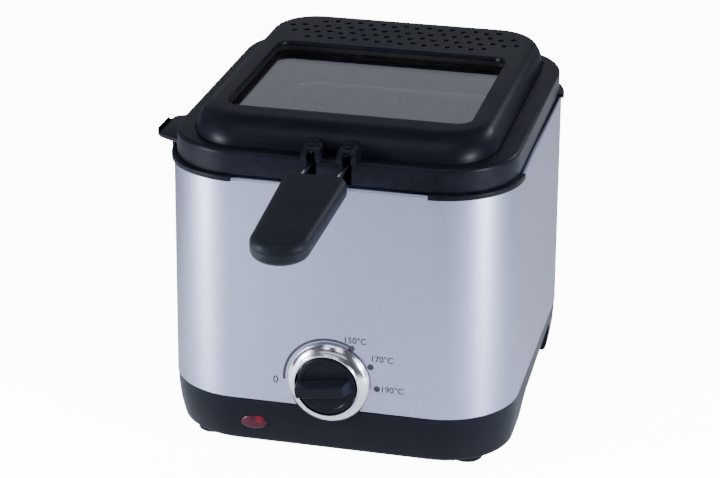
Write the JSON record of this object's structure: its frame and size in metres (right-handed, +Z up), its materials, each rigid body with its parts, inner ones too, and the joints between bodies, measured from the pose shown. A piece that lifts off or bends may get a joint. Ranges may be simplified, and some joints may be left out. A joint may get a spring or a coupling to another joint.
{
  "type": "deep fryer",
  "caption": "Compact deep fryer with a steel casing, fixed oil pot, wire basket on a folding handle, lift-off windowed lid and a dial thermostat.",
  "frame": {"origin": "centre of the part's bounding box, on the plane its feet stand on", "axes": "+X to the user's right, +Y towards the back of the fryer (the handle points to -Y), +Z up"},
  "size_m": [0.2144, 0.3454, 0.1992],
  "materials": {
    "black_plastic": "satin moulded black",
    "handle_plastic": "matt moulded black",
    "brushed_steel": "horizontal brushed",
    "chrome": "polished",
    "rubber": "matt",
    "glass": "clear, slightly grey",
    "red_lens": "translucent red, gloss",
    "pot_coating": "satin non-stick coating",
    "aluminium": "satin",
    "wire_mesh": "bright plated wire",
    "filter": "charcoal filter felt",
    "insulation": "pale heat-resistant moulding and sleeving",
    "brass": "satin"
  },
  "bodies": {
    "body": {"base_tray": "black_plastic", "foot_front_left": "rubber", "foot_front_right": "rubber", "foot_rear_left": "rubber", "foot_rear_right": "rubber", "steel_casing": "brushed_steel", "rim_collar": "black_plastic", "oil_pot": "pot_coating", "heating_element": "aluminium", "element_clamp": "aluminium", "heat_shield": "aluminium", "shield_screw_1": "aluminium", "shield_screw_2": "aluminium", "shield_screw_3": "aluminium", "shield_screw_4": "aluminium", "thermostat_body": "insulation", "thermostat_bulb": "brass", "thermostat_capillary": "brass", "thermal_cutout": "insulation", "terminal_block": "insulation", "wire_mains": "insulation", "wire_thermostat": "insulation", "wire_element_live": "insulation", "wire_element_neutral": "insulation", "wire_pilot": "insulation", "cord_gland": "rubber", "dial_bezel": "chrome", "pilot_lens": "red_lens", "pilot_lamp": "glass"},
    "lid": {"lid_shell": "black_plastic", "lid_rim": "black_plastic", "window_glass": "glass", "window_gasket": "rubber", "window_retainer": "black_plastic", "lid_screw_1": "aluminium", "lid_screw_2": "aluminium", "lid_screw_3": "aluminium", "lid_screw_4": "aluminium", "filter_pad": "filter", "filter_cover": "black_plastic"},
    "basket": {"basket_mesh": "wire_mesh", "basket_rim": "wire_mesh", "basket_bracket": "wire_mesh"},
    "handle": {"handle_wire_left": "chrome", "handle_wire_right": "chrome", "grip_top": "handle_plastic", "grip_bottom": "handle_plastic", "grip_screw": "aluminium"},
    "knob": {"control_knob": "black_plastic", "thermostat_shaft": "brass"}
  },
  "joints": [
    {"name": "lid_lift", "type": "slide", "parent": "body", "child": "lid", "axis": [0, 0, 1], "range_m": [0, 0.24]},
    {"name": "basket_lift", "type": "slide", "parent": "body", "child": "basket", "axis": [0, 0, 1], "range_m": [0, 0.11]},
    {"name": "handle_fold", "type": "hinge", "parent": "basket", "child": "handle", "pos_m": [0.00535, -0.03094, 0.183], "axis": [-1, 0, 0], "range_deg": [0, 10]},
    {"name": "knob_turn", "type": "hinge", "parent": "body", "child": "knob", "pos_m": [0.00535, -0.05483, 0.0506], "axis": [0, 1, 0], "range_deg": [0, 190]}
  ],
  "couplings": [
    {"joint": "basket_lift", "follows": "lid_lift", "ratio": 0.45}
  ]
}
